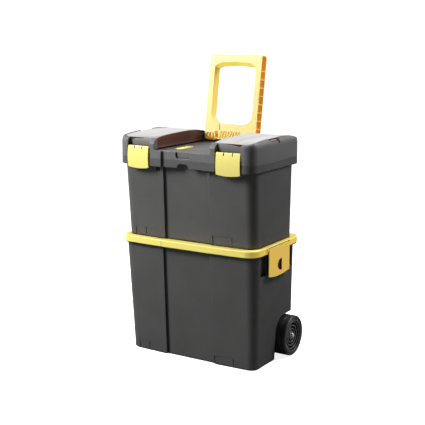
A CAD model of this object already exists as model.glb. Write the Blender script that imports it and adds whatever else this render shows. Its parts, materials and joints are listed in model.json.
"""Looks of a rolling tool box: a wheeled bin, a tool box on top with two clear organizer
covers in its lid, side clips, front latches and an upright pull handle.

Metres, +Z up, standing on z = 0. The front faces -Y, the wheels and handle are at the back (+Y),
and X is mirrored about the middle: left is -X, right is +X.
"""
import bpy
import bmesh
import json
import math
from mathutils import Vector, Matrix

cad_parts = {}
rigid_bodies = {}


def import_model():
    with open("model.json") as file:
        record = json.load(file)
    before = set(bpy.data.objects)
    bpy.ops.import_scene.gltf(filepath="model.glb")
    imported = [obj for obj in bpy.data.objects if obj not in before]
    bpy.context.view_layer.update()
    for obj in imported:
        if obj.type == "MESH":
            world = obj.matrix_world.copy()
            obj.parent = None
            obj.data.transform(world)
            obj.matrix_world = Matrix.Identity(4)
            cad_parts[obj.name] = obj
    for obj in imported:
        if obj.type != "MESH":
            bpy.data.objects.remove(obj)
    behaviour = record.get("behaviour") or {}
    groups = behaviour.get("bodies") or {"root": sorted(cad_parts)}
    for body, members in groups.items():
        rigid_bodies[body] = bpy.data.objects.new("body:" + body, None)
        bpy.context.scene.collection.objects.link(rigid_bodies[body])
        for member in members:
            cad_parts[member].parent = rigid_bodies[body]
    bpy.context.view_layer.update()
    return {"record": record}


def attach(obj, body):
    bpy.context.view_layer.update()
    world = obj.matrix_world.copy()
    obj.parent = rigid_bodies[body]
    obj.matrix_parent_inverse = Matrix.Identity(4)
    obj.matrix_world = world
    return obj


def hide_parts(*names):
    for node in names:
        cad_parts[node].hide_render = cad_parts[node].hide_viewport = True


for old in list(bpy.data.objects):
    bpy.data.objects.remove(old, do_unlink=True)
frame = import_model()

# ---------------------------------------------------------------- driving dimensions
SIDES = {"left": -1, "right": 1}
WALL = 0.003                 # wall of the two moulded boxes
PANEL = 0.0065               # depth of the sunk middle panel
BOW = 0.007                  # how far the fronts bow forward

# plans are (half width, front, back): the front is at y = -front, the back at y = +back
BIN_FOOT = (0.2185, 0.1080, 0.1350)      # at z = 0
BIN_HEAD = (0.2290, 0.1290, 0.1280)      # at BIN_HEAD_Z
BIN_HEAD_Z = 0.3436
BIN_WALL_TOP = 0.3590
FLANGE = (0.2322, 0.1375, 0.1495)
RIM = (0.2337, 0.1399, 0.1518)
RIM_INNER = (0.2158, 0.1128, 0.1122)
RIM_Z0, RIM_Z1 = BIN_HEAD_Z, 0.3624
BOX_FOOT = (0.2211, 0.1180, 0.1174)      # at RIM_Z1
BOX_HEAD = (0.2257, 0.1333, 0.1197)      # at COLLAR_Z0
COLLAR = (0.2300, 0.1491, 0.1451)
COLLAR_R = 0.033
COLLAR_BOW = 0.0095
COLLAR_Z0, COLLAR_Z1 = 0.5815, 0.6048
LID_Z0 = 0.6052
CHANNEL_FLOOR = 0.6280
CHANNEL_X = 0.0957           # half width of the handle channel
BAY_FLOOR = 0.6238
CEILING = 0.6210
SEAT_Z = 0.6545              # ledge the organizer covers rest over
BAY_Y0, BAY_Y1 = -0.1345, 0.1125
RECESS_X0, RECESS_X1 = 0.1120, 0.1930    # latch recess, from the middle outwards
RECESS_D = 0.0120
LATCH_X0, LATCH_X1 = 0.1150, 0.1908
LATCH_X = (LATCH_X0 + LATCH_X1) / 2
LATCH_AXIS = (-0.1450, 0.6335)           # y, z at the latch's middle
LATCH_TILT = math.radians(3.14)          # the latches follow the bow of the front
LID_AXIS = (0.1500, 0.6050)              # y, z
LID_HINGES = ((-0.150, -0.090), (0.090, 0.150))  # x ranges, left and right
LID_KNUCKLE_R, LID_BORE_R = 0.0042, 0.0020
HANDLE_AXIS = (0.1289, 0.6480)           # y, z
HANDLE_LEAN = math.radians(9.05)
HANDLE_HALF = 0.0906                     # half width
HANDLE_FACE = 0.030 / 2                  # half depth
HANDLE_TOP = 0.2488                      # above its axis
COVER_AXIS = (0.0985, 0.6340)            # x, z
CLIP_AXIS = (0.2330, 0.3540)             # x, z
CLIP_Y0, CLIP_Y1 = -0.0585, 0.0665
WHEEL_X, WHEEL_Y, WHEEL_R = 0.2190, 0.0866, 0.0613
AXLE_R = 0.0050

PARTS = bpy.data.collections.new("rolling_tool_box")
CUTTERS = bpy.data.collections.new("cutters")
for collection in (PARTS, CUTTERS):
    bpy.context.scene.collection.children.link(collection)


# ---------------------------------------------------------------- shader graph
class Graph:
    """Node tree of a material or world. Methods that add a node return its output socket."""

    def __init__(self, owner, space="Object"):
        owner.use_nodes = True
        self.owner = owner
        self.nodes = owner.node_tree.nodes
        self.links = owner.node_tree.links
        self.place = self.add("TexCoord", space)

    def feed(self, node, inputs):
        """Link or set inputs, given as {name or number: socket or value}."""
        for key, value in inputs.items():
            if isinstance(value, bpy.types.NodeSocket):
                self.links.new(value, node.inputs[key])
            else:
                node.inputs[key].default_value = value

    def add(self, kind, output, inputs=None, **settings):
        node = self.nodes.new("ShaderNode" + kind)
        for key, value in settings.items():
            setattr(node, key, value)
        self.feed(node, inputs or {})
        return node.outputs[output]

    def paint(self, inputs):
        self.feed(self.nodes["Principled BSDF"], inputs)

    def surface(self, factor, first):
        """Show the painted shader over another one, by a factor."""
        painted = self.nodes["Principled BSDF"].outputs["BSDF"]
        mixed = self.add("MixShader", "Shader", {"Fac": factor, 1: first, 2: painted})
        self.feed(self.nodes["Material Output"], {"Surface": mixed})

    def noise(self, scale, detail=3.0, roughness=0.5, place=None):
        return self.add("TexNoise", "Fac", {"Scale": scale, "Detail": detail,
                                            "Roughness": roughness, "Vector": place or self.place})

    def stretched(self, scale):
        return self.add("Mapping", "Vector", {"Scale": scale, "Vector": self.place})

    def ramp(self, factor, stops, dark, light):
        colour = self.add("ValToRGB", "Color", {"Fac": factor})
        elements = colour.node.color_ramp.elements
        for element, stop, tone in zip(elements, stops, (dark, light)):
            element.position = stop
            element.color = (*tone, 1)
        return colour

    def remap(self, value, source, target=(0.0, 1.0)):
        """Map the source range onto the target range, clamped."""
        limits = dict(enumerate((*source, *target), 1))
        return self.add("MapRange", "Result", {"Value": value, **limits})

    def math(self, operation, *operands):
        return self.add("Math", "Value", dict(enumerate(operands)), operation=operation)

    def product(self, first, *others):
        for other in others:
            first = self.math("MULTIPLY", first, other)
        return first

    def normal(self):
        return self.add("NewGeometry", "Normal")

    def dot(self, first, second):
        return self.add("VectorMath", "Value", {0: first, 1: second}, operation="DOT_PRODUCT")

    def axis(self, vector, letter):
        return self.add("SeparateXYZ", letter, {"Vector": vector})

    def facing(self, blend):
        return self.add("LayerWeight", "Facing", {"Blend": blend})

    def blend(self, colour, other, factor):
        inputs = {"Factor": factor, "A": colour, "B": (*other, 1)}
        return self.add("Mix", "Result", inputs, data_type="RGBA")

    def soft_edges(self, radius, samples=6):
        return self.add("Bevel", "Normal", {"Radius": radius}, samples=samples)

    def bump(self, height, strength, distance, edge):
        """Surface relief on top of corners rounded by edge."""
        self.paint({"Normal": self.add("Bump", "Normal", {
            "Strength": strength, "Distance": distance, "Height": height,
            "Normal": self.soft_edges(edge)})})

    def corners(self, radius, lean, samples=6):
        """1 along corners, 0 on flats, from how far the rounded normal leans from the true one."""
        agreement = self.dot(self.normal(), self.soft_edges(radius, samples))
        return self.remap(agreement, (1.0 - lean[0], 1.0 - lean[1]))

    def side_faces(self, x0, x1):
        """1 on faces that look sideways and stand between x0 and x1 from the middle."""
        fade = 0.0003
        distance = self.math("ABSOLUTE", self.axis(self.place, "X"))
        sideways = self.math("ABSOLUTE", self.axis(self.normal(), "X"))
        return self.product(self.remap(sideways, (0.45, 0.90)),
                            self.remap(distance, (x0 - fade, x0)),
                            self.remap(distance, (x1 + fade, x1)))


# ---------------------------------------------------------------- materials
MIDDLE = (0.3, 0.7)          # the range most noise values fall in
WARM_SIDE = (0.95, 0.05, -0.28)          # faces turned right and down read warmer
OPEN_AIR = (0.35, 0.95)      # ambient occlusion, from a deep recess to an open face


def moulded(name, dark, light, roughness, grain=1800.0, grain_depth=0.00012, edge=0.0010,
            ior=1.45, coat=0.0, shade=None, glow=0.0, under=None, under_glow=0.0, ridge=None,
            worn=None, worn_radius=0.0022, deep=None, deep_reach=0.009, deep_glow=0.0,
            even_glow=None):
    """Injection-moulded plastic: faint mottling, fine grain and soft edges.

    Colours: shade on the warm side, under on undersides, worn on corners, deep in recesses.
    The glows are emission strengths there; even_glow lights the whole surface.
    ridge is (x0, x1, colour) of side faces with their own colour.
    """
    look = Graph(bpy.data.materials.new(name))
    cloud = look.noise(scale=9.0, detail=4.0, roughness=0.6)
    colour = look.ramp(cloud, (0.32, 0.70), dark, light)
    speck = look.noise(scale=grain * 0.7, detail=2.0)
    lift = look.remap(speck, (0.35, 0.65), (0.93, 1.07))
    colour = look.add("VectorMath", "Vector", {0: colour, "Scale": lift}, operation="SCALE")
    shine = None
    if shade:
        normal = look.normal()
        warm = look.dot(normal, WARM_SIDE)
        shine = look.remap(warm, (0.10, 0.70), (0.0, glow))
        colour = look.blend(colour, shade, look.remap(warm, (0.10, 0.85)))
        if under_glow:
            upward = look.axis(normal, "Z")
            below = look.remap(upward, (-0.15, -0.85), (0.0, under_glow))
            shine = look.math("MAXIMUM", shine, below)
        if under:
            colour = look.blend(colour, under, look.remap(upward, (-0.10, -0.70)))
    if ridge:
        colour = look.blend(colour, ridge[2], look.side_faces(ridge[0], ridge[1]))
    if worn:
        colour = look.blend(colour, worn, look.corners(worn_radius, lean=(0.02, 0.30)))
    if deep:
        openness = look.add("AmbientOcclusion", "AO", {"Distance": deep_reach}, samples=8)
        hidden = look.remap(openness, OPEN_AIR, (1.0, 0.0))
        brightest = look.math("MAXIMUM", look.remap(openness, OPEN_AIR, (deep_glow, 0.0)), 0.0)
        if shine:
            look.feed(brightest.node, {1: shine})
        shine = brightest
        colour = look.blend(colour, deep, hidden)
    look.paint({"Base Color": colour})
    if shine or even_glow:
        # thin walls pass light through, so their shaded sides stay warm and bright
        look.paint({"Emission Color": colour, "Emission Strength": shine or even_glow})
    varied = look.remap(look.noise(scale=22.0), MIDDLE, (roughness - 0.05, roughness + 0.06))
    look.paint({"Roughness": varied, "IOR": ior, "Coat Weight": coat, "Coat Roughness": 0.25})
    fine = look.noise(scale=grain, detail=2.5, roughness=0.55)
    look.bump(fine, strength=0.35, distance=grain_depth, edge=edge)
    return look.owner


def smoked(name):
    """Smoked cover: dark brown see-through plastic, with a satin sheen on top at a low angle."""
    look = Graph(bpy.data.materials.new(name))
    haze = look.noise(scale=14.0, detail=4.0, roughness=0.6)
    brown = look.ramp(haze, MIDDLE, dark=(0.120, 0.052, 0.034), light=(0.155, 0.069, 0.046))
    corner = look.corners(0.0024, lean=(0.03, 0.25), samples=8)
    brown = look.blend(brown, (0.012, 0.007, 0.005), corner)
    look.paint({"Roughness": look.remap(haze, MIDDLE, (0.28, 0.36)), "IOR": 1.45})
    # sheen: top faces, seen nearly edge on, go milky; fine streaks break it up
    top = look.remap(look.axis(look.normal(), "Z"), (0.86, 0.97))
    low_angle = look.remap(look.facing(blend=0.5), (0.45, 0.74), (0.0, 0.74))
    streak = look.noise(scale=1.0, place=look.stretched((26.0, 5.0, 26.0)))
    fade = look.remap(streak, MIDDLE, (0.86, 1.10))
    flat = look.remap(corner, (0.0, 1.0), (1.0, 0.10))
    sheen = look.product(top, low_angle, fade, flat)
    # the flat top takes far more light than the walls, so it carries less pigment
    brown = look.blend(brown, (0.034, 0.017, 0.012), top)
    milky = look.blend(brown, (0.030, 0.030, 0.031), look.remap(sheen, (0.05, 0.45)))
    look.paint({"Base Color": milky, "Emission Color": (1.0, 0.985, 0.990, 1),
                "Emission Strength": sheen})
    clear = look.add("BsdfTransparent", "BSDF", {"Color": (0.62, 0.40, 0.30, 1)})
    look.surface(look.remap(look.facing(blend=0.35), (0.0, 0.5), (0.48, 0.90)), clear)
    look.bump(look.noise(scale=40.0, detail=2.0), strength=0.10, distance=0.0004, edge=0.0010)
    return look.owner


def rubber(name):
    """Dusty black rubber, rubbed grey on its corners and outermost side faces."""
    look = Graph(bpy.data.materials.new(name))
    dust = look.noise(scale=30.0, detail=5.0, roughness=0.65)
    colour = look.ramp(dust, (0.35, 0.75), dark=(0.008, 0.008, 0.008),
                       light=(0.019, 0.0185, 0.018))
    colour = look.blend(colour, (0.080, 0.080, 0.079), look.corners(0.0012, lean=(0.03, 0.25)))
    colour = look.blend(colour, (0.036, 0.036, 0.0355), look.side_faces(x0=0.2438, x1=0.2460))
    look.paint({"Base Color": colour, "Roughness": look.remap(dust, MIDDLE, (0.42, 0.62))})
    look.bump(look.noise(scale=1500.0, detail=2.0), strength=0.25, distance=0.0002, edge=0.0006)
    return look.owner


def steel(name):
    """Zinc-plated steel with fine turning marks."""
    look = Graph(bpy.data.materials.new(name))
    lines = look.noise(scale=1.0, roughness=0.6, place=look.stretched((60.0, 700.0, 700.0)))
    colour = look.ramp(lines, MIDDLE, dark=(0.58, 0.58, 0.57), light=(0.80, 0.80, 0.78))
    look.paint({"Base Color": colour, "Metallic": 0.55,
                "Roughness": look.remap(lines, MIDDLE, (0.20, 0.36))})
    look.bump(lines, strength=0.15, distance=0.0001, edge=0.0004)
    return look.owner


GREY_GRAIN = dict(grain=1400.0, grain_depth=0.00025)
GREY = moulded(
    "grey_plastic_look", dark=(0.0770, 0.0768, 0.0764), light=(0.0910, 0.0907, 0.0900),
    roughness=0.52, edge=0.0018, ior=1.38, deep=(0.014, 0.0138, 0.0135),
    worn=(0.140, 0.139, 0.141), **GREY_GRAIN)
GREY_BIN = moulded(
    "grey_bin_look", dark=(0.0650, 0.0647, 0.0640), light=(0.0770, 0.0766, 0.0757),
    roughness=0.54, edge=0.0018, ior=1.37, deep=(0.013, 0.0128, 0.0125),
    worn=(0.120, 0.119, 0.120), **GREY_GRAIN)
GREY_LID = moulded(
    "grey_lid_look", dark=(0.1200, 0.1195, 0.1192), light=(0.1410, 0.1405, 0.1400),
    roughness=0.50, edge=0.0018, ior=1.40, deep=(0.014, 0.0138, 0.0135), deep_reach=0.010,
    worn=(0.270, 0.268, 0.272), **GREY_GRAIN)
YELLOW = moulded(
    "yellow_rim_look", dark=(0.89, 0.755, 0.165), light=(0.92, 0.79, 0.195), roughness=0.42,
    deep=(0.30, 0.11, 0.012), deep_reach=0.005, coat=0.08, shade=(0.90, 0.61, 0.090),
    glow=0.30, under_glow=0.10)
YELLOW_CLIP = moulded(
    "yellow_clip_look", dark=(0.88, 0.765, 0.175), light=(0.91, 0.80, 0.205), roughness=0.42,
    deep=(0.50, 0.20, 0.020), deep_reach=0.003, coat=0.08, shade=(0.86, 0.56, 0.090),
    glow=0.27, worn=(0.95, 0.84, 0.36), worn_radius=0.0012)
CUP = moulded("clip_cup_look", dark=(0.150, 0.036, 0.008), light=(0.190, 0.048, 0.010),
              roughness=0.55, edge=0.0006)
YELLOW_LATCH = moulded(
    "yellow_latch_look", dark=(0.88, 0.785, 0.20), light=(0.91, 0.815, 0.23), roughness=0.40,
    deep=(0.075, 0.048, 0.010), deep_reach=0.0045, coat=0.12, shade=(0.90, 0.60, 0.070),
    glow=0.10)
YELLOW_PALE = moulded(
    "yellow_handle_look", dark=(0.77, 0.655, 0.228), light=(0.80, 0.685, 0.262),
    roughness=0.42, deep=(0.90, 0.31, 0.014), deep_reach=0.013, coat=0.08,
    shade=(0.81, 0.580, 0.132), glow=0.27, deep_glow=0.19, under_glow=0.62,
    under=(0.86, 0.72, 0.110))
RIB = moulded("handle_rib_look", dark=(0.82, 0.61, 0.070), light=(0.86, 0.65, 0.090),
              roughness=0.45, edge=0.0006, even_glow=0.22)
POCKET = moulded("handle_pocket_look", dark=(0.81, 0.42, 0.040), light=(0.86, 0.46, 0.052),
                 roughness=0.45, edge=0.0006, even_glow=0.20)
SLIT = moulded("handle_slit_look", dark=(0.090, 0.050, 0.012), light=(0.120, 0.066, 0.016),
               roughness=0.55, edge=0.0004)
SHADOW_GREY = moulded(
    "grey_pocket_look", dark=(0.0105, 0.0103, 0.0100), light=(0.0135, 0.0133, 0.0130),
    roughness=0.60, edge=0.0012, **GREY_GRAIN)
SMOKE = smoked("smoke_plastic_look")
RUBBER = rubber("black_rubber_look")
BLACK = moulded(
    "black_plastic_look", dark=(0.009, 0.009, 0.009), light=(0.015, 0.015, 0.015),
    roughness=0.36, grain=900.0, grain_depth=0.0002, edge=0.0006,
    ridge=(0.2365, 0.2440, (0.23, 0.23, 0.226)))
STEEL = steel("steel_look")


# ---------------------------------------------------------------- objects and booleans
def make_object(collection, shape, mesh_name, object_name):
    bmesh.ops.recalc_face_normals(shape, faces=shape.faces)
    mesh = bpy.data.meshes.new(mesh_name)
    shape.to_mesh(mesh)
    shape.free()
    made = bpy.data.objects.new(object_name, mesh)
    collection.objects.link(made)
    return made


def part(name, shape):
    return make_object(PARTS, shape, name, name + "_shape")


def combine(target, shape, operation):
    """Boolean a shape with the target; returns the shape's object."""
    cutter = make_object(CUTTERS, shape, "cutter", "cutter")
    modifier = target.modifiers.new(operation.lower(), "BOOLEAN")
    modifier.operation = operation
    modifier.solver = "EXACT"
    modifier.object = cutter
    return cutter


def cut(target, *shapes):
    for shape in shapes:
        combine(target, shape, "DIFFERENCE")


def weld(target, *shapes):
    for shape in shapes:
        combine(target, shape, "UNION")


def set_origin(target, point):
    """Put the object's origin at the point and leave its shape where it is."""
    point = Vector(point)
    target.data.transform(Matrix.Translation(-point))
    target.location = point


# ---------------------------------------------------------------- outlines and solids
def mix(first, second, t):
    return tuple(a + (b - a) * t for a, b in zip(first, second))


def front_y(size, x, bow=BOW):
    """y of the bowed front of a plan at x."""
    return -(size[1] + bow * (0.46 - (x / size[0]) ** 2))


def plan(size, radius, steps, bow=BOW, segments=12):
    """Closed plan with rounded corners, from the front middle round to the right.
    steps: (x, depth) along the right half of the front; the left half mirrors it."""
    half, _, back = size
    right = [(x, front_y(size, x, bow) + depth) for x, depth in steps]
    x, y0, y1 = half - radius, front_y(size, half - radius, bow) + radius, back - radius
    arc = [(radius * math.cos(a), radius * math.sin(a))
           for a in (math.pi / 2 * k / segments for k in range(segments + 1))]
    points = list(right)
    points += [(x + sine, y0 - cosine) for cosine, sine in arc]
    points += [(x + cosine, y1 + sine) for cosine, sine in arc]
    points += [(-(x + sine), y1 + cosine) for cosine, sine in arc]
    points += [(-(x + cosine), y0 - sine) for cosine, sine in arc]
    points += [(-x, y) for x, y in reversed(right)]
    return points


def inset(outline, distance):
    """Parallel outline inside the given one, with the same number of corners."""
    count = len(outline)
    points = []
    for i in range(count):
        before, here, after = (Vector(outline[(i + k) % count]) for k in (-1, 0, 1))
        edge0, edge1 = (here - before).normalized(), (after - here).normalized()
        normal0, normal1 = Vector((-edge0.y, edge0.x)), Vector((-edge1.y, edge1.x))
        shift = (normal0 + normal1) / max(0.25, 1 + normal0.dot(normal1))
        points.append((here.x + distance * shift.x, here.y + distance * shift.y))
    return points


def rounded(corners, segments=10):
    """Outline with each corner (x, z, radius) rounded off; corners go round once."""
    points = []
    for i, (x, z, radius) in enumerate(corners):
        if radius <= 0:
            points.append((x, z))
            continue
        corner = Vector((x, z))
        back = (Vector(corners[i - 1][:2]) - corner).normalized()
        ahead = (Vector(corners[(i + 1) % len(corners)][:2]) - corner).normalized()
        half_angle = back.angle(ahead) / 2
        reach = radius / math.tan(half_angle)
        centre = corner + (back + ahead).normalized() * (radius / math.sin(half_angle))
        start, end = corner + back * reach - centre, corner + ahead * reach - centre
        sweep = start.angle_signed(end)
        for k in range(segments + 1):
            arm = start.copy()
            arm.rotate(Matrix.Rotation(-sweep * k / segments, 2))
            points.append((centre.x + arm.x, centre.y + arm.y))
    return points


def skin(rings, closed=False):
    """Skin a row of rings of points. The ends are capped unless the row closes on itself."""
    shape = bmesh.new()
    rows = [[shape.verts.new(point) for point in ring] for ring in rings]
    pairs = list(zip(rows, rows[1:]))
    if closed:
        pairs.append((rows[-1], rows[0]))
    for low, high in pairs:
        count = len(low)
        for i in range(count):
            shape.faces.new((low[i], low[(i + 1) % count], high[(i + 1) % count], high[i]))
    if not closed:
        shape.faces.new(rows[0])
        shape.faces.new(rows[-1])
    return shape


def loft(levels, closed=False):
    """Skin a stack of plans, given as (z, outline)."""
    return skin([[(x, y, z) for x, y in outline] for z, outline in levels], closed)


def box(x0, x1, y0, y1, z0, z1):
    shape = bmesh.new()
    bmesh.ops.create_cube(shape, size=1.0)
    bmesh.ops.scale(shape, vec=(abs(x1 - x0), abs(y1 - y0), abs(z1 - z0)), verts=shape.verts)
    middle = ((x0 + x1) / 2, (y0 + y1) / 2, (z0 + z1) / 2)
    bmesh.ops.translate(shape, vec=middle, verts=shape.verts)
    return shape


def prism(outline, axis, low, high):
    """Extrude an outline along 'x' from (y, z) pairs, 'y' from (x, z) or 'z' from (x, y)."""
    index = "xyz".index(axis)
    shape = bmesh.new()
    face = shape.faces.new([shape.verts.new((*p[:index], low, *p[index:])) for p in outline])
    new = bmesh.ops.extrude_face_region(shape, geom=[face])["geom"]
    shift = [0, 0, 0]
    shift[index] = high - low
    bmesh.ops.translate(shape, vec=shift,
                        verts=[item for item in new if isinstance(item, bmesh.types.BMVert)])
    return shape


def rod(axis, centre, radius, start, end, segments=20):
    """Cylinder along 'x' or 'y'; centre holds the other two coordinates."""
    shape = bmesh.new()
    bmesh.ops.create_cone(shape, cap_ends=True, segments=segments, radius1=radius,
                          radius2=radius, depth=abs(end - start))
    middle = (start + end) / 2
    turn_axis, offset = {"x": ("Y", (middle, centre[0], centre[1])),
                         "y": ("X", (centre[0], middle, centre[1]))}[axis]
    bmesh.ops.rotate(shape, verts=shape.verts, matrix=Matrix.Rotation(math.pi / 2, 3, turn_axis))
    bmesh.ops.translate(shape, vec=offset, verts=shape.verts)
    return shape


def turned(side, profile, segments):
    """Turn a closed (distance from the middle, radius) outline about the axle line."""
    shape = bmesh.new()
    points = [shape.verts.new((side * x, WHEEL_Y, WHEEL_R + radius)) for x, radius in profile]
    edges = [shape.edges.new((points[i - 1], points[i])) for i in range(1, len(points))]
    edges.append(shape.edges.new((points[-1], points[0])))
    bmesh.ops.spin(shape, geom=points + edges, cent=(0, WHEEL_Y, WHEEL_R), axis=(1, 0, 0),
                   dvec=(0, 0, 0), angle=2 * math.pi, steps=segments, use_merge=True)
    bmesh.ops.remove_doubles(shape, verts=shape.verts, dist=1e-6)
    return shape


def swing(shape, side):
    """Turn a shape about the upright line through a latch's middle, to follow the bow."""
    bmesh.ops.rotate(shape, verts=shape.verts, cent=(side * LATCH_X, LATCH_AXIS[0], 0),
                     matrix=Matrix.Rotation(side * LATCH_TILT, 3, "Z"))
    return shape


def span(side, inner, outer):
    """An x range on one side, low end first."""
    return (inner, outer) if side > 0 else (-outer, -inner)


# ---------------------------------------------------------------- marks low on both fronts
FRONT_MARKS = (              # x of the groove and panel edge, panel width, share of full height
    (-0.1875, 0.0180, 0.55), (-0.1500, 0.0270, 0.90), (0.0870, 0.0618, 1.0),
    (0.1500, 0.0200, 0.72))
MARK_HEIGHT = 0.0275
MARK_DEPTH = 0.0009


def sunk_panel(x0, x1, z0, z1, foot, head, foot_z, head_z):
    """A shallow block that follows the drafted, bowed front between two heights."""
    def section(z):
        size = mix(foot, head, (z - foot_z) / (head_z - foot_z))
        return [(x0, -0.165), (x1, -0.165), (x1, front_y(size, x1) + MARK_DEPTH * 0.55),
                (x0, front_y(size, x0) + MARK_DEPTH)]
    return loft([(z0, section(z0)), (z1, section(z1))])


def mark_front(body, foot, head, foot_z, head_z, panel_z0, panel_base, groove_share,
               groove_y0, groove_z0, groove_z1):
    """Sunk panels, then narrow upright grooves set into the front at a share of its draft."""
    for x, width, share in FRONT_MARKS:
        cut(body, sunk_panel(x, x + width, panel_z0, panel_base + MARK_HEIGHT * share,
                             foot, head, foot_z, head_z))
    for x, _, _ in FRONT_MARKS:
        y = front_y(mix(foot, head, groove_share), x)
        cut(body, box(x - 0.0012, x + 0.0012, groove_y0, y + 0.0016, groove_z0, groove_z1))


# ---------------------------------------------------------------- bin
WELL_X, WELL_Y, WELL_Z = 0.1885, 0.0145, 0.1310      # inner side, front and top of a wheel well


def bin_plan(z, distance=0.0):
    """Outer plan of the bin at a height, or one inset from it."""
    t = z / BIN_HEAD_Z
    panel_x = 0.0840 - 0.0040 * t
    outline = plan(mix(BIN_FOOT, BIN_HEAD, t), 0.026 + 0.006 * t,
                   ((panel_x, PANEL), (panel_x + 0.0008, 0)))
    return inset(outline, distance) if distance else outline


def arch(y0, y1, z0, z1, radius, segments=16):
    """Side outline of a wheel well: upright front, rounded front top corner, flat top."""
    angles = [math.pi / 2 * k / segments for k in range(segments + 1)]
    curve = [(y0 + radius - radius * math.sin(a), z1 - radius + radius * math.cos(a))
             for a in angles]
    return [(y1, z0), (y1, z1), *curve, (y0, z0)]


flange = plan(FLANGE, 0.036, ((0.080, 0), (0.0808, 0)))
bin_body = part("bin_body", loft([
    (0.0, bin_plan(0, 0.003)), (0.003, bin_plan(0.003)), (0.3402, bin_plan(0.3402)),
    (0.3402, flange), (0.3431, flange), (0.3431, bin_plan(0.3431)),
    (BIN_WALL_TOP, bin_plan(BIN_WALL_TOP)), (BIN_WALL_TOP, bin_plan(BIN_WALL_TOP, WALL)),
    (0.0080, bin_plan(0.0080, WALL)), (0.0035, bin_plan(0.0035, 0.0075))]))
for side in SIDES.values():
    # walls of the wheel wells, kept inside the bin's skin
    well = combine(bin_body, prism(arch(WELL_Y - WALL, 0.1500, 0.002, WELL_Z + WALL, 0.052),
                                   "x", side * (WELL_X - WALL), side * 0.2300), "UNION")
    combine(well, loft([(z, bin_plan(z, 0.0015)) for z in (0.001, 0.160)]), "INTERSECT")
# housing over the axle
weld(bin_body, box(-0.187, 0.187, WHEEL_Y - 0.0115, WHEEL_Y + 0.0115, 0.002, 0.0755))
for side in SIDES.values():
    # block behind a side clip; its outer face leans outwards
    z0, z1 = 0.2740, 0.3395
    block = box(side * 0.2160, side * 0.2262, -0.0950, 0.0990, z0, z1)
    far = max(abs(vertex.co.x) for vertex in block.verts)
    for vertex in block.verts:
        if abs(abs(vertex.co.x) - far) < 1e-6:
            vertex.co.x += side * 0.0018 * (vertex.co.z - z0) / (z1 - z0)
    weld(bin_body, block)
for side in SIDES.values():
    cut(bin_body, prism(arch(WELL_Y, 0.20, -0.02, WELL_Z, 0.050), "x",
                        side * WELL_X, side * 0.26))
cut(bin_body, box(-0.20, 0.20, WHEEL_Y - 0.0085, WHEEL_Y + 0.0085, -0.02, 0.0725))
for side in SIDES.values():
    # side pockets before and behind each clip
    for y0, y1 in ((-0.0920, CLIP_Y0 - 0.0005), (CLIP_Y1 + 0.0005, 0.0960)):
        cut(bin_body, box(side * 0.2190, side * 0.2600, y0, y1, 0.2790, 0.3390))
    # window for the clip's hook, open at the top edge
    cut(bin_body, box(side * 0.2100, side * 0.2600, 0.0010, 0.0250, 0.3330, 0.3700))
mark_front(bin_body, BIN_FOOT, BIN_HEAD, foot_z=0.0, head_z=BIN_WALL_TOP,
           panel_z0=-0.010, panel_base=0.0, groove_share=0.04, groove_y0=-0.1300,
           groove_z0=-0.01, groove_z1=0.0285)

# ---------------------------------------------------------------- yellow rim
RIM_CHAMFER = 0.0022
RIM_SKIRT = 0.0025           # thickness of the skirt
rim_out = plan(RIM, 0.040, ((0.080, 0),), segments=14)
rim_in = plan(RIM_INNER, 0.0225, ((0.080, 0),), segments=14)
bin_rim = part("bin_rim", loft([
    (RIM_Z0, rim_out), (RIM_Z1 - RIM_CHAMFER, rim_out), (RIM_Z1, inset(rim_out, RIM_CHAMFER)),
    (RIM_Z1, rim_in), (RIM_Z1 - 0.003, rim_in), (RIM_Z1 - 0.003, inset(rim_out, RIM_SKIRT)),
    (RIM_Z0, inset(rim_out, RIM_SKIRT))], closed=True))
# fine upright line on the left of the front
cut(bin_rim, box(-0.0808, -0.0797, -0.170, front_y(RIM, -0.0802) + 0.0007,
                 RIM_Z0 - 0.01, RIM_Z1 + 0.01))
for side in SIDES.values():
    # ears that carry the clip's pin
    for y0, y1 in ((CLIP_Y0 - 0.0085, CLIP_Y0 - 0.0010), (CLIP_Y1 + 0.0010, CLIP_Y1 + 0.0085)):
        weld(bin_rim, box(side * 0.2300, side * 0.2358, y0, y1, 0.3500, 0.3600))
for side in SIDES.values():
    # gap in the skirt between the ears, and the pin's bore
    cut(bin_rim, box(side * 0.2200, side * 0.2500, CLIP_Y0 - 0.0010, CLIP_Y1 + 0.0010,
                     0.3300, 0.3593))
    cut(bin_rim, rod("y", (side * CLIP_AXIS[0], CLIP_AXIS[1]), 0.00141,
                     CLIP_Y0 - 0.0068, CLIP_Y1 + 0.0068))

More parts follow.
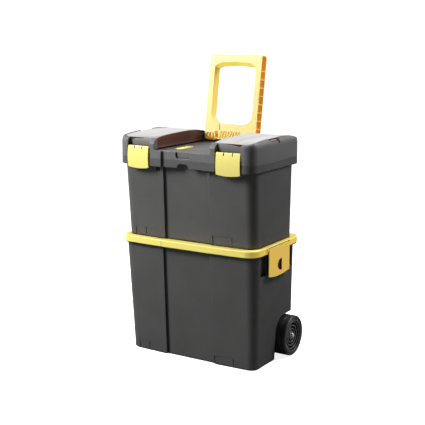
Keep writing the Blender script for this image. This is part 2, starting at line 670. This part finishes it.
# ---------------------------------------------------------------- axle and wheels
# profiles are (distance from the middle, radius)
CAP_PROFILE = (
    (0.2385, 0.0053), (0.2400, 0.0074), (0.2425, 0.0074), (0.2442, 0.0055), (0.2446, 0.0024),
    (0.2424, 0.0020), (0.2420, 0.0053))
WASHER_PROFILE = ((0.1894, 0.0054), (0.1894, 0.0110), (0.1906, 0.0110), (0.1906, 0.0054))
HUB_PROFILE = (              # hub, web, rim flange, three face rings and bore
    (0.1915, 0.0054), (0.1915, 0.0130), (0.2225, 0.0150), (0.2225, 0.0440), (0.1945, 0.0450),
    (0.1945, 0.0487), (0.2430, 0.0487), (0.2436, 0.0482), (0.2436, 0.0466), (0.2430, 0.0461),
    (0.2320, 0.0454), (0.2320, 0.0430), (0.2396, 0.0426), (0.2402, 0.0421), (0.2402, 0.0401),
    (0.2396, 0.0396), (0.2300, 0.0390), (0.2300, 0.0326), (0.2381, 0.0322), (0.2387, 0.0317),
    (0.2387, 0.0297), (0.2381, 0.0292), (0.2285, 0.0288), (0.2285, 0.0226), (0.2371, 0.0222),
    (0.2377, 0.0217), (0.2377, 0.0197), (0.2371, 0.0192), (0.2285, 0.0188), (0.2285, 0.0142),
    (0.2372, 0.0128), (0.2380, 0.0120), (0.2381, 0.0054))
TREAD = WHEEL_R - 0.0010     # radius at the bottom of the tread grooves
TIRE_PROFILE = (
    (0.1940, 0.0491), (0.1930, 0.0500), (0.1930, 0.0585), (0.1955, 0.0610), (0.2020, WHEEL_R),
    (0.2060, WHEEL_R), (0.2066, TREAD), (0.2080, TREAD), (0.2086, WHEEL_R),
    (0.2160, WHEEL_R), (0.2166, TREAD), (0.2180, TREAD), (0.2186, WHEEL_R),
    (0.2260, WHEEL_R), (0.2266, TREAD), (0.2280, TREAD), (0.2286, WHEEL_R),
    (0.2340, WHEEL_R), (0.2423, 0.0610), (0.2448, 0.0585), (0.2448, 0.0568), (0.2434, 0.0561),
    (0.2434, 0.0544), (0.2446, 0.0537), (0.2446, 0.0505), (0.2440, 0.0491))
SPOKES = 6
FIRST_SPOKE = 16.875         # degrees

part("axle", rod("x", (WHEEL_Y, WHEEL_R), AXLE_R, -0.2415, 0.2415, 40))
for name, side in SIDES.items():
    part("axle_cap_" + name, turned(side, CAP_PROFILE, 48))
    part("axle_washer_" + name, turned(side, WASHER_PROFILE, 48))
    hub = part("wheel_" + name, turned(side, HUB_PROFILE, 96))
    for k in range(SPOKES):
        spoke = box(side * 0.2255, side * 0.2345, -0.0012, 0.0012, 0.0130, 0.0455)
        angle = math.radians(360 // SPOKES * k + FIRST_SPOKE)
        bmesh.ops.rotate(spoke, verts=spoke.verts, cent=(0, 0, 0),
                         matrix=Matrix.Rotation(angle, 3, "X"))
        bmesh.ops.translate(spoke, vec=(0, WHEEL_Y, WHEEL_R), verts=spoke.verts)
        weld(hub, spoke)
    tire = part("wheel_tire_" + name, turned(side, TIRE_PROFILE, 108))
    for piece in (hub, tire):
        set_origin(piece, (side * WHEEL_X, WHEEL_Y, WHEEL_R))

# ---------------------------------------------------------------- side clips
CLIP_OUTLINE = (             # y, z: the bowed lower edge, then the straight top
    (CLIP_Y0, 0.2755), (-0.0375, 0.2712), (-0.0165, 0.2690), (0.0040, 0.2685),
    (0.0245, 0.2692), (0.0455, 0.2710), (CLIP_Y1, 0.2740), (CLIP_Y1, 0.3568), (CLIP_Y0, 0.3568))
CUP_BACK_Y, CUP_Z = 0.0187, 0.3000
CUP_LENGTH, CUP_HALF = 0.0257, 0.0180
CUP_STEPS = 20
# finger cup, flat at the back and round at the front
CUP_OUTLINE = [(CUP_BACK_Y, 0.2820), (CUP_BACK_Y, 0.3180)]
CUP_OUTLINE += [(CUP_BACK_Y - CUP_LENGTH * math.sin(math.pi * k / CUP_STEPS),
                 CUP_Z + CUP_HALF * math.cos(math.pi * k / CUP_STEPS))
                for k in range(1, CUP_STEPS)]
CUP_BLOCK = ((-0.0095, 0.2800), (0.0212, 0.2800), (0.0212, 0.3200), (-0.0095, 0.3200))  # y, z

for name, side in SIDES.items():
    axis = (side * CLIP_AXIS[0], CLIP_AXIS[1])
    clip = part("side_clip_" + name, prism(CLIP_OUTLINE, "x", *span(side, 0.2345, 0.2371)))
    weld(clip, rod("y", axis, 0.0033, CLIP_Y0 + 0.0004, CLIP_Y1 - 0.0004, 40),
         # arm of the hook, and its down-turned end
         box(side * 0.2190, side * 0.2355, 0.0030, 0.0230, 0.3505, 0.3530),
         box(side * 0.2190, side * 0.2210, 0.0030, 0.0230, 0.3470, 0.3530))
    cut(clip, rod("y", axis, 0.0015, CLIP_Y0 - 0.01, CLIP_Y1 + 0.01))
    weld(clip, prism(CUP_BLOCK, "x", side * 0.2300, side * 0.2350))
    cut(clip, prism(CUP_OUTLINE, "x", side * 0.2312, side * 0.2400))
    set_origin(clip, (axis[0], (CLIP_Y0 + CLIP_Y1) / 2, axis[1]))
    part("side_clip_pin_" + name, rod("y", axis, 0.0010, CLIP_Y0 - 0.0060, CLIP_Y1 + 0.0060))

# ---------------------------------------------------------------- upper tool box
COLLAR_STEPS = (             # x, depth, way the step moves to keep its wall when inset
    (0.0705, PANEL, 1), (0.0715, 0, 1), (RECESS_X0 - 0.001, 0, -1), (RECESS_X0, RECESS_D, -1),
    (RECESS_X1 - 0.001, RECESS_D, 1), (RECESS_X1, 0, 1))
FOOT = 0.0062                # how far the foot steps in to sit inside the rim


def collar_plan(distance=0.0, shift=True):
    """Outline inside the collar; with shift, the steps keep a wall of that thickness too."""
    wall = distance if shift else 0.0
    steps = [(x + way * wall, depth) for x, depth, way in COLLAR_STEPS]
    return plan([length - distance for length in COLLAR], COLLAR_R - distance, steps, COLLAR_BOW)


def box_plan(z, distance=0.0):
    """Outer plan of the tool box at a height, or one inset from it."""
    t = (z - RIM_Z1) / (COLLAR_Z0 - RIM_Z1)
    panel_x = 0.0795 - 0.0050 * t
    outline = plan(mix(BOX_FOOT, BOX_HEAD, t), 0.028 + 0.006 * t,
                   ((panel_x, PANEL), (panel_x + 0.0008, 0), (0.112, 0), (0.113, 0),
                    (0.188, 0), (0.189, 0)))
    return inset(outline, distance) if distance else outline


collar = collar_plan()
toolbox_body = part("toolbox_body", loft([
    (0.3530, box_plan(0.3627, FOOT + 0.0015)), (0.3545, box_plan(0.3627, FOOT)),
    (0.3627, box_plan(0.3627, FOOT)), (0.3627, box_plan(0.3627, 0.0015)),
    (0.3645, box_plan(0.3645)), (0.6015, box_plan(0.6015)), (0.6015, collar_plan(0.0026)),
    (COLLAR_Z0, collar_plan(0.0026)), (COLLAR_Z0, collar_plan(0.0008, False)),
    (COLLAR_Z0 + 0.0008, collar), (COLLAR_Z1, collar), (COLLAR_Z1, box_plan(COLLAR_Z1, WALL)),
    (0.3675, box_plan(0.3675, WALL)), (0.3665, box_plan(0.3665, FOOT + WALL)),
    (0.3565, box_plan(0.3565, FOOT + WALL))]))
for side in SIDES.values():
    # catch under each latch, and a small pocket nearer the middle
    weld(toolbox_body, swing(box(side * 0.1300, side * 0.1800, -0.1428, -0.1356,
                                 0.5880, 0.5915), side))
    cut(toolbox_body, box(side * 0.0860, side * 0.1000, -0.1500, -0.1327, 0.5650, 0.5780))
mark_front(toolbox_body, BOX_FOOT, BOX_HEAD, foot_z=RIM_Z1, head_z=COLLAR_Z0,
           panel_z0=0.3600, panel_base=0.3640, groove_share=0.07, groove_y0=-0.1400,
           groove_z0=0.3645, groove_z1=0.3920)
# thumb notch in the collar's lower edge: x, z
cut(toolbox_body, prism([
    (-0.020, 0.570), (-0.020, 0.5850), (-0.016, 0.5915), (-0.010, 0.5940), (0.010, 0.5940),
    (0.016, 0.5915), (0.020, 0.5850), (0.020, 0.570)], "y", -0.160, -0.1390))
# lid hinges: one wide knuckle on the box between two on the lid, on both sides
hinge_y, hinge_z = LID_AXIS
for x0, x1 in LID_HINGES:
    weld(toolbox_body, rod("x", LID_AXIS, LID_KNUCKLE_R, x0 + 0.0165, x1 - 0.0165, 32),
         box(x0 + 0.0165, x1 - 0.0165, 0.1440, hinge_y, 0.5960, 0.6046))
for x0, x1 in LID_HINGES:
    cut(toolbox_body, rod("x", LID_AXIS, LID_BORE_R, x0 + 0.010, x1 - 0.010, 24))

# ---------------------------------------------------------------- lid
LID_TOP = (                  # y, z of the lid's top line, front to back
    (-0.165, 0.628), (-0.1530, 0.6440), (-0.1490, 0.6515), (-0.1440, 0.6570),
    (-0.1370, 0.6608), (-0.1200, 0.6644), (-0.0950, 0.6680), (-0.0640, 0.6700),
    (0.0000, 0.6708), (0.0320, 0.6714), (0.0610, 0.6706), (0.0850, 0.6686), (0.1000, 0.6660),
    (0.1150, 0.6622), (0.1270, 0.6580), (0.1370, 0.6525), (0.1435, 0.6445), (0.1462, 0.6340),
    (0.165, 0.600))
RAIL_DIP = (                 # y, z: dip in the side rail where a finger lifts the cover
    (-0.052, 0.70), (-0.045, 0.6680), (-0.035, 0.6625), (-0.0285, 0.6610), (0.0065, 0.6610),
    (0.0100, 0.6635), (0.0150, 0.6680), (0.0210, 0.70))


def bay_plan(side, x0, x1, y0, y1, radius):
    """Plan of an organizer opening: square towards the channel, rounded outer corners."""
    return rounded([(side * x0, y0, 0), (side * x1, y0, radius), (side * x1, y1, radius),
                    (side * x0, y1, 0)], 12)


lid = part("toolbox_lid", loft([
    (CEILING, collar_plan(0.0030)), (LID_Z0, collar_plan(0.0030)), (LID_Z0, collar),
    (0.6480, collar), (0.6560, collar_plan(0.0012, False)),
    (0.6620, collar_plan(0.0040, False)), (0.6680, collar_plan(0.0080, False)),
    (0.6760, collar_plan(0.0110, False))]))
cut(lid, prism([*LID_TOP, (0.165, 0.70), (-0.165, 0.70)], "x", -0.25, 0.25),
    # handle channel, and its widening between the bays
    box(-CHANNEL_X, CHANNEL_X, -0.20, 0.20, CHANNEL_FLOOR, 0.72),
    box(-0.1033, 0.1033, BAY_Y0, BAY_Y1, CHANNEL_FLOOR + 0.0001, 0.72))
for side in SIDES.values():
    cut(lid, prism(bay_plan(side, 0.1000, 0.2190, BAY_Y0, BAY_Y1, 0.024), "z", SEAT_Z, 0.72),
        box(side * 0.1058, side * 0.2130, BAY_Y0 + 0.0025, BAY_Y1 - 0.0045, BAY_FLOOR, 0.70),
        # hollows of the side rail and the rear cheek, open below
        box(side * 0.2160, side * 0.2262, -0.1180, 0.1120, 0.6150, 0.6490),
        box(side * 0.1000, side * 0.2130, 0.1155, 0.1390, 0.6150, 0.6415),
        prism(RAIL_DIP, "x", *span(side, 0.2100, 0.2500)))
# hollow under the channel, open below
cut(lid, box(-0.0920, 0.0920, -0.1300, 0.1330, 0.6150, 0.6252))
for side in SIDES.values():
    # short notch in the side rail
    cut(lid, box(side * 0.2212, side * 0.2500, 0.0072, 0.0138, 0.6532, 0.6900))
# low lip across the rear of the channel
weld(lid, box(-0.0948, 0.0948, 0.1386, 0.1442, 0.6262, 0.6345))
# finger recess in the middle of the front, cut into a backing block
weld(lid, box(-0.0285, 0.0285, -0.1450, -0.1370, 0.6065, 0.6215))
recess = [(-0.024, 0.66), (-0.024, 0.6180)]
recess += [(-0.015 - 0.009 * math.cos(math.pi / 2 * k / 4),
            0.6180 - 0.009 * math.sin(math.pi / 2 * k / 4)) for k in range(1, 5)]
recess += [(-x, z) for x, z in reversed(recess)]
cut(lid, prism(recess, "y", -0.170, -0.1418))
for side in SIDES.values():
    # knuckles for the pull handle, standing on the channel's rear cheeks
    weld(lid, rod("x", HANDLE_AXIS, 0.0085, side * 0.0912, side * 0.0990, 80))
for x0, x1 in LID_HINGES:
    for start, end in ((x0, x0 + 0.0158), (x1 - 0.0158, x1)):
        weld(lid, rod("x", LID_AXIS, LID_KNUCKLE_R, start, end, 32),
             box(start, end, 0.1440, hinge_y, 0.6054, 0.6150))
for side in SIDES.values():
    # bores for the handle's pin, the cover's hinge wire and the latch's pin
    cut(lid, rod("x", HANDLE_AXIS, 0.0033, side * 0.0850, side * 0.1150, 24),
        rod("y", (side * COVER_AXIS[0], COVER_AXIS[1]), 0.0013,
            BAY_Y0 - 0.0085, BAY_Y1 + 0.0085),
        swing(rod("x", LATCH_AXIS, 0.0014, side * 0.1040, side * 0.2015), side))
for x0, x1 in LID_HINGES:
    cut(lid, rod("x", LID_AXIS, LID_BORE_R, x0 + 0.002, x1 - 0.002, 24))
set_origin(lid, (0, hinge_y, hinge_z))
for (x0, x1), name in zip(LID_HINGES, SIDES):
    part("lid_hinge_pin_" + name, rod("x", LID_AXIS, 0.0016, x0 + 0.0024, x1 - 0.0024, 24))

# ---------------------------------------------------------------- front latches
LATCH_OUTLINE = (            # y, z: down the front face, then up the back face
    (-0.1491, 0.6350), (-0.1518, 0.6200), (-0.1528, 0.6030), (-0.1520, 0.5860),
    (-0.1500, 0.5705), (-0.1477, 0.5705), (-0.1495, 0.5860), (-0.1503, 0.6030),
    (-0.1493, 0.6200), (-0.1468, 0.6350))

for name, side in SIDES.items():
    x0, x1 = span(side, LATCH_X0, LATCH_X1)
    middle = (x0 + x1) / 2
    latch = part("front_latch_" + name, swing(prism(LATCH_OUTLINE, "x", x0, x1), side))
    # hinge barrel, and the hook behind the plate
    weld(latch, swing(rod("x", LATCH_AXIS, 0.0043, x0 + 0.0003, x1 - 0.0003, 40), side),
         swing(box(middle - 0.024, middle + 0.024, -0.1508, -0.1434, 0.5835, 0.5868), side))
    cut(latch, swing(rod("x", LATCH_AXIS, 0.0016, x0 - 0.01, x1 + 0.01), side))
    for offset in (-0.014, 0.014):
        # two slots in the top edge
        cut(latch, swing(box(middle + offset - 0.0016, middle + offset + 0.0016,
                             -0.17, -0.13, 0.6285, 0.65), side))
    # bowed lower edge
    sag = [(middle + 0.0385 * k / 4, 0.5715 + 0.0040 * (k / 4) ** 2) for k in range(-4, 5)]
    sag = [(x0 - 0.01, 0.56), (x0 - 0.01, 0.5755), *sag, (x1 + 0.01, 0.5755), (x1 + 0.01, 0.56)]
    cut(latch, swing(prism(sag, "y", -0.17, -0.13), side))
    set_origin(latch, (middle, *LATCH_AXIS))
    part("latch_pin_" + name,
         swing(rod("x", LATCH_AXIS, 0.0011, side * 0.1046, side * 0.2010), side))

# ---------------------------------------------------------------- organizer covers, dividers
DOME = (                     # y, top z of a cover, front to back
    (-0.1335, 0.6614), (-0.1180, 0.6646), (-0.0950, 0.6670), (-0.0550, 0.6690), (0.0, 0.6700),
    (0.0400, 0.6700), (0.0720, 0.6686), (0.0960, 0.6660), (0.1115, 0.6624))
DOME_Y0, DOME_Y1 = DOME[0][0], DOME[-1][0]
COVER_ENDS = (               # y range, top z of the end walls
    (DOME_Y0 + 0.00005, DOME_Y0 + 0.002, 0.6602), (DOME_Y1 - 0.002, DOME_Y1 - 0.00005, 0.6599))


def cover_section(top):
    """(x, z) section across a cover: a thin shell, deep towards the channel."""
    inner, outer, wall = 0.0973, 0.2184, 0.0020
    hinge = COVER_AXIS[1] + 0.0019
    return [(inner, hinge), (inner, top - 0.0035), (inner + 0.0010, top - 0.0010),
            (inner + 0.0035, top), (outer - 0.0025, top), (outer - 0.0007, top - 0.0007),
            (outer, top - 0.0025), (outer, 0.6550), (outer - wall, 0.6550),
            (outer - wall, top - 0.0030), (outer - wall - 0.0010, top - wall),
            (inner + wall + 0.0020, top - wall), (inner + wall, top - wall - 0.0020),
            (inner + wall, hinge)]


for name, side in SIDES.items():
    axis = (side * COVER_AXIS[0], COVER_AXIS[1])
    cover = part("organizer_cover_" + name, skin(
        [[(side * x, y, z) for x, z in cover_section(top)] for y, top in DOME]))
    for y0, y1, z1 in COVER_ENDS:
        weld(cover, box(side * 0.0978, side * 0.2178, y0, y1, 0.6553, z1))
    combine(cover, prism(bay_plan(side, 0.0900, 0.2185, DOME_Y0 - 0.0001, DOME_Y1 + 0.0001,
                                  0.0236), "z", 0.6000, 0.7000), "INTERSECT")
    weld(cover, rod("y", axis, 0.0026, DOME_Y0 + 0.0004, DOME_Y1 - 0.0004, 28),
         # lifting tab on the outer edge
         box(side * 0.2170, side * 0.2245, -0.028, 0.006, 0.6620, 0.6640))
    cut(cover, rod("y", axis, 0.0014, -0.15, 0.13))
    set_origin(cover, (axis[0], (BAY_Y0 + BAY_Y1) / 2, axis[1]))
    part("cover_pin_" + name, rod("y", axis, 0.0010, BAY_Y0 - 0.0080, BAY_Y1 + 0.0080))
    for place, y in (("front", -0.0500), ("rear", 0.0300)):
        part("divider_%s_%s" % (name, place),
             box(side * 0.1063, side * 0.2125, y - 0.0008, y + 0.0008,
                 BAY_FLOOR + 0.0003, 0.6540))

# ---------------------------------------------------------------- pull handle
# modelled upright about its axis at the origin, then leaned back and moved into place
HANDLE_FOOT = -0.0145
POCKET_WALL = HANDLE_FACE - 0.0025       # half depth of the side pockets
WEBS = [0.0258 + 0.0249 * k for k in range(8)]       # z of the webs between side pockets


def grip_opening(crown, ends, segments=24):
    """(x, z) grip opening: round lower corners, an arched top with shallow finger waves."""
    half = 0.072
    points = rounded([(-half, 0.0365, 0.030), (half, 0.0365, 0.030), (half, 0.204, 0),
                      (-half, 0.204, 0)], 12)[:-2]
    for k in range(segments + 1):
        angle = math.pi * k / segments
        rise = (crown - ends) * math.sin(angle) ** 0.8
        wave = 0.0007 * math.cos(2.0 * math.pi * k / 6.0)
        points.append((half * math.cos(angle), ends + rise + wave))
    return points


handle = part("pull_handle", prism(rounded([
    (-HANDLE_HALF, HANDLE_FOOT, 0.009), (-0.0590, HANDLE_FOOT, 0.004), (-0.0590, -0.0100, 0),
    (0.0590, -0.0100, 0), (0.0590, HANDLE_FOOT, 0.004), (HANDLE_HALF, HANDLE_FOOT, 0.009),
    (HANDLE_HALF, HANDLE_TOP, 0.003), (-HANDLE_HALF, HANDLE_TOP, 0.003)]),
    "y", -HANDLE_FACE, HANDLE_FACE))
combine(handle, prism(rounded([
    (-HANDLE_FACE, HANDLE_FOOT, 0.012), (HANDLE_FACE, HANDLE_FOOT, 0.012),
    (HANDLE_FACE, HANDLE_TOP, 0.009), (-HANDLE_FACE, HANDLE_TOP, 0.009)], 12),
    "x", -0.1, 0.1), "INTERSECT")
# the underside of the grip slopes down towards the back
grip_front, grip_back = grip_opening(0.2262, 0.2080), grip_opening(0.2165, 0.2050)
cut(handle, skin([[(x, y, z) for x, z in outline] for y, outline in (
    (-0.05, grip_front), (-HANDLE_FACE - 0.0004, grip_front), (0.002, grip_back),
    (0.05, grip_back))]))
for side in SIDES.values():
    # pockets open to the outside, the top one with rounded upper corners
    for z0, z1 in zip([0.0088] + WEBS, WEBS):
        cut(handle, box(side * 0.0755, side * 0.1000, -POCKET_WALL, POCKET_WALL,
                        z0 + 0.0012, z1 - 0.0012))
    z0, z1 = WEBS[-1] + 0.0012, HANDLE_TOP - 0.0031
    cut(handle, prism(rounded([(-POCKET_WALL, z0, 0), (POCKET_WALL, z0, 0),
                               (POCKET_WALL, z1, 0.0065), (-POCKET_WALL, z1, 0.0065)], 6),
                      "x", *span(side, 0.0755, 0.1000)))
    # tall pockets in the front of each knuckle
    for x0, x1 in ((0.0560, 0.0612), (0.0665, 0.0728), (0.0768, 0.0822)):
        cut(handle, box(side * x0, side * x1, -0.030, -0.0062, -0.0105, 0.0075))
# slanted slots in the front of the lower bar
for k in range(8):
    x = -0.0365 + 0.0088 * k
    slot = [(x, -0.0072), (x + 0.0050, -0.0072), (x + 0.0100, 0.0125), (x + 0.0050, 0.0125)]
    cut(handle, prism(slot, "y", -0.030, -HANDLE_FACE + 0.0045))
# upright slit and square pocket beside them, then the hollows behind the grip and lower bar
cut(handle, box(-0.0390, -0.0372, -0.030, -HANDLE_FACE + 0.0040, 0.0160, 0.0450),
    box(-0.0520, -0.0410, -0.030, -HANDLE_FACE + 0.0080, -0.0070, 0.0120),
    box(-0.0660, 0.0660, -HANDLE_FACE + 0.0100, 0.05, 0.2290, 0.2420),
    box(-0.0540, 0.0540, -HANDLE_FACE + 0.0065, 0.05, 0.0050, 0.0330))
for side in SIDES.values():
    cut(handle, rod("x", (0, 0), 0.0034, side * 0.0500, side * 0.1200, 24))
handle_tilt = Matrix.Rotation(-HANDLE_LEAN, 4, "X")
handle_place = Vector((0, *HANDLE_AXIS))
for piece in [handle] + [modifier.object for modifier in handle.modifiers]:
    piece.data.transform(handle_tilt)
    piece.location = handle_place
for name, side in SIDES.items():
    part("handle_pin_" + name, rod("x", HANDLE_AXIS, 0.0030, side * 0.0600, side * 0.1145, 28))

# ---------------------------------------------------------------- slide that locks the handle
lock = part("handle_lock", prism(rounded([
    (-0.0570, -0.1000, 0.005), (-0.0330, -0.1000, 0.005), (-0.0330, -0.0320, 0.005),
    (-0.0570, -0.0320, 0.005)], 3), "z", CHANNEL_FLOOR + 0.0004, CHANNEL_FLOOR + 0.0028))
for k in range(4):
    # thumb ribs
    y = -0.060 + 0.007 * k
    weld(lock, box(-0.0540, -0.0360, y, y + 0.0028,
                   CHANNEL_FLOOR + 0.0024, CHANNEL_FLOOR + 0.0044))
set_origin(lock, (-0.045, -0.065, CHANNEL_FLOOR + 0.0004))

# ---------------------------------------------------------------- looks of the parts
BODY = {node: body for body, nodes in frame["record"]["behaviour"]["bodies"].items()
        for node in nodes}
SLOT = {record["node"]: record["material_slot"] for record in frame["record"]["subparts"]}
SLOT_LOOKS = {"grey_plastic": GREY, "yellow_plastic": YELLOW, "smoke_plastic": SMOKE,
              "black_rubber": RUBBER, "black_plastic": BLACK, "steel": STEEL}
PART_LOOKS = {"pull_handle": YELLOW_PALE, "side_clip": YELLOW_CLIP,
              "front_latch": YELLOW_LATCH, "handle_lock": YELLOW_LATCH,
              "toolbox_lid": GREY_LID, "bin_body": GREY_BIN}


def look_of(node):
    for start, look in PART_LOOKS.items():
        if node.startswith(start) and "pin" not in node:
            return look
    return SLOT_LOOKS[SLOT[node]]


def clip_face(centre):
    """1 in the finger cup."""
    x, y, z = centre
    return int(0.2308 < abs(x) < 0.2352 and -0.0085 < y < 0.0200 and 0.2810 < z < 0.3190)


def handle_face(centre):
    """1 in the slanted slots, 2 in the slit, 3 in the pockets."""
    x, y, z = handle_tilt.inverted() @ (centre - handle_place)
    out = abs(x)
    if -HANDLE_FACE + 0.0003 < y < -HANDLE_FACE + 0.0050:
        if -0.0366 < x < 0.0354 and -0.0073 < z < 0.0126:
            return 1
        if -0.0391 < x < -0.0371 and 0.0158 < z < 0.0452:
            return 2
    side_pocket = (0.0750 < out < HANDLE_HALF - 0.0004 and abs(y) < HANDLE_FACE - 0.0022
                   and 0.0092 < z < HANDLE_TOP - 0.0028)
    front_pocket = ((0.0558 < out < 0.0824 or -0.0522 < x < -0.0408)
                    and -HANDLE_FACE + 0.0010 < y < -0.0060 and z < 0.0122)
    return 3 if side_pocket or front_pocket else 0


def toolbox_face(centre):
    """1 in the small pocket beside the left latch."""
    x, y, z = centre
    return int(-0.1002 < x < -0.0858 and -0.1450 < y < -0.1320 and 0.5648 < z < 0.5782)


# by main look: the further materials, and which faces take them
FACE_LOOKS = {YELLOW_CLIP: ((CUP,), clip_face), YELLOW_PALE: ((RIB, SLIT, POCKET), handle_face),
              GREY: ((SHADOW_GREY,), toolbox_face)}


def dress(mesh, look, node):
    mesh.materials.clear()
    mesh.materials.append(look)
    if look not in FACE_LOOKS or (look is GREY and node != "toolbox_body"):
        return
    extras, face_slot = FACE_LOOKS[look]
    for extra in extras:
        mesh.materials.append(extra)
    for face in mesh.polygons:
        slot = face_slot(face.center)
        if slot:
            face.material_index = slot


# ---------------------------------------------------------------- bake and hang on the frame
bpy.context.view_layer.update()
graph = bpy.context.evaluated_depsgraph_get()
baked = []
for piece in list(PARTS.objects):
    mesh = bpy.data.meshes.new_from_object(piece.evaluated_get(graph), depsgraph=graph)
    mesh.transform(piece.matrix_world)
    baked.append((piece, mesh))
for piece, mesh in baked:
    piece.modifiers.clear()
    piece.matrix_world = Matrix.Identity(4)
    piece.data = mesh
for cutter in list(CUTTERS.objects):
    bpy.data.objects.remove(cutter, do_unlink=True)
for piece, mesh in baked:
    shape = bmesh.new()
    shape.from_mesh(mesh)
    bmesh.ops.remove_doubles(shape, verts=shape.verts, dist=1e-7)
    shape.to_mesh(mesh)
    shape.free()
    mesh.shade_smooth()
    mesh.set_sharp_from_angle(angle=math.radians(28))
    node = piece.name[:-len("_shape")]
    piece.visible_glossy = node != "pull_handle"
    dress(mesh, look_of(node), node)
    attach(piece, BODY[node])
    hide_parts(node)

# ---------------------------------------------------------------- floor
FLOOR_HALF = 7.0
FLOOR_FRONT, FLOOR_BEND = -6.0, 2.4      # y where the flat starts and where it curves up
FLOOR_CURVE = 2.0                        # radius of the curve
FLOOR_DROP = 0.0004                      # below the wheels
FLOOR_STEPS = 24                         # half along the flat, half round the curve
FLOOR_GLOW = 0.85


def floor_mesh():
    """A flat sheet that curves up behind the object into a wall."""
    shape = bmesh.new()
    rows = []
    for k in range(FLOOR_STEPS + 1):
        share = k / FLOOR_STEPS
        if share < 0.5:
            y, z = FLOOR_FRONT + (FLOOR_BEND - FLOOR_FRONT) * (share / 0.5), 0.0
        else:
            angle = (share - 0.5) / 0.5 * math.pi / 2
            y = FLOOR_BEND + FLOOR_CURVE * math.sin(angle)
            z = FLOOR_CURVE * (1 - math.cos(angle))
        rows.append((y, z - FLOOR_DROP))
    rows.append((FLOOR_BEND + FLOOR_CURVE, 6.0))
    rows = [[shape.verts.new((x, y, z)) for x in (-FLOOR_HALF, FLOOR_HALF)] for y, z in rows]
    for low, high in zip(rows, rows[1:]):
        shape.faces.new((low[0], low[1], high[1], high[0]))
    mesh = bpy.data.meshes.new("floor")
    shape.to_mesh(mesh)
    shape.free()
    mesh.shade_smooth()
    return mesh


def paper(name):
    """Reads white to the camera and bounces little light back onto the object."""
    look = Graph(bpy.data.materials.new(name))
    tone = look.ramp(look.noise(scale=3.0), MIDDLE, dark=(0.86,) * 3, light=(0.90,) * 3)
    look.paint({"Base Color": tone, "Roughness": 0.9, "Specular IOR Level": 0.1,
                "Emission Color": (1, 1, 1, 1), "Emission Strength": FLOOR_GLOW})
    dull = look.add("BsdfDiffuse", "BSDF", {"Color": (0.22, 0.22, 0.22, 1)})
    look.surface(look.add("LightPath", "Is Camera Ray"), dull)
    return look.owner


floor = bpy.data.objects.new("floor", floor_mesh())
bpy.context.scene.collection.objects.link(floor)
floor.data.materials.append(paper("floor_paper"))

# ---------------------------------------------------------------- world, lights, camera
# bright behind and beside the object, dim on the camera's side, plain white to the camera
WORLD_BACK, WORLD_FRONT = 1.15, 0.05
TO_CAMERA = (0.52, -0.85, 0.0)
world = bpy.data.worlds.new("studio")
bpy.context.scene.world = world
sky = Graph(world, "Generated")
strength = sky.remap(sky.dot(sky.place, TO_CAMERA), (-0.75, 0.12), (WORLD_BACK, WORLD_FRONT))
strength = sky.add("Mix", "Result", {"Factor": sky.add("LightPath", "Is Camera Ray"),
                                     "A": strength, "B": 1.0})
sky.feed(sky.nodes["Background"], {"Color": (1.0, 1.0, 1.0, 1), "Strength": strength})


def area(name, place, target, size, watts):
    lamp = bpy.data.lights.new(name, "AREA")
    lamp.shape = "RECTANGLE"
    lamp.size, lamp.size_y = size
    lamp.energy = watts
    light = bpy.data.objects.new(name, lamp)
    bpy.context.scene.collection.objects.link(light)
    light.location = place
    aim = Vector(target) - Vector(place)
    light.rotation_euler = aim.to_track_quat("-Z", "Y").to_euler()
    light.visible_camera = False


area("key", place=(-1.78, -1.70, 2.12), target=(0, 0, 0.62), size=(1.0, 1.3), watts=136)
area("side", place=(1.20, 1.25, 2.05), target=(0.1, 0, 0.62), size=(0.8, 1.1), watts=52)
area("top", place=(0.0, 0.6, 2.9), target=(0, 0, 0.5), size=(1.6, 1.4), watts=10)

lens = bpy.data.cameras.new("camera")
lens.lens = 80.16
lens.sensor_width = 36.0
camera = bpy.data.objects.new("camera", lens)
bpy.context.scene.collection.objects.link(camera)
camera.location = (1.4872, -2.3672, 0.9794)
camera.rotation_euler = (math.radians(78.88), 0.0, math.radians(31.97))
bpy.context.scene.camera = camera
bpy.context.scene.view_settings.view_transform = "Standard"
